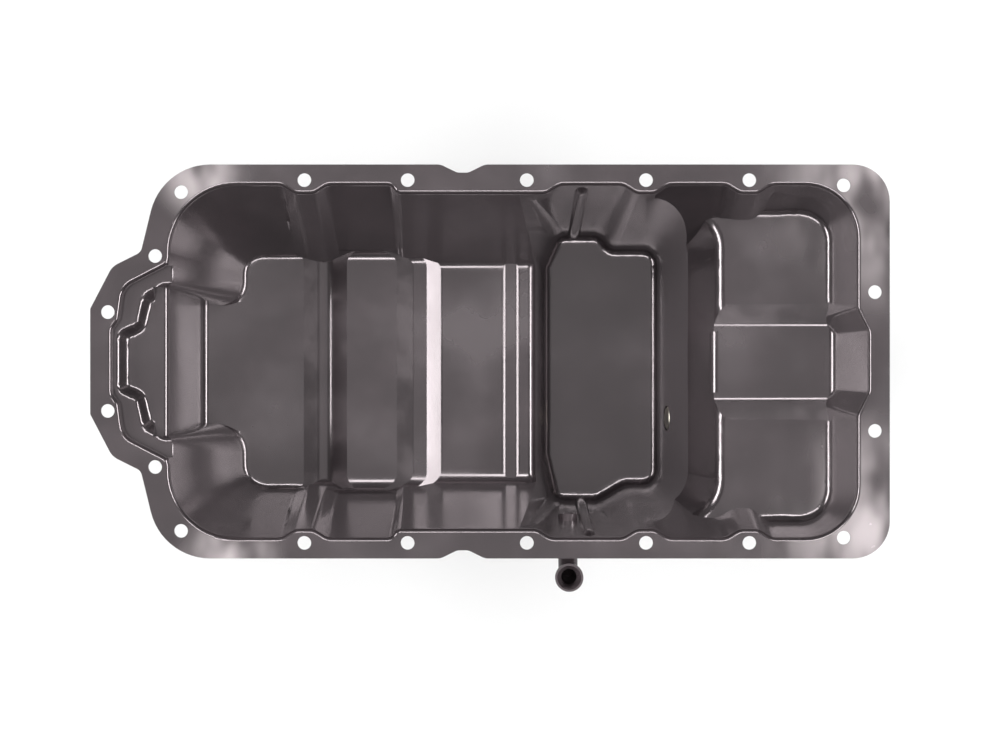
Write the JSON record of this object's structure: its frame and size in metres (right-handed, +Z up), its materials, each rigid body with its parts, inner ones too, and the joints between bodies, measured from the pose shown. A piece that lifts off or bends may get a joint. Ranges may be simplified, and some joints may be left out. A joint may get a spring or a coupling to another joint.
{
  "type": "engine oil pan",
  "caption": "Deep-drawn sheet-steel engine oil pan with a flat bolt flange, stepped floor, deep sump pocket, shallow rear pads, a side tube and a drain plug.",
  "frame": {"origin": "centre of the main rectangle of bolt holes, in the gasket face of the flange", "axes": "+X along the pan from the narrow nose to the shallow rear end, +Z up out of the open side, +Y to the side away from the tube"},
  "size_m": [0.4318, 0.2348, 0.1335],
  "materials": {
    "coated_steel": "satin black electrocoat",
    "coated_tube": "satin black electrocoat",
    "zinc_plug": "zinc plated",
    "washer_metal": "plain"
  },
  "bodies": {
    "root": {"pan_body": "coated_steel", "elbow_tube": "coated_tube", "drain_nut": "coated_steel", "drain_washer": "washer_metal", "drain_plug": "zinc_plug"}
  },
  "joints": []
}
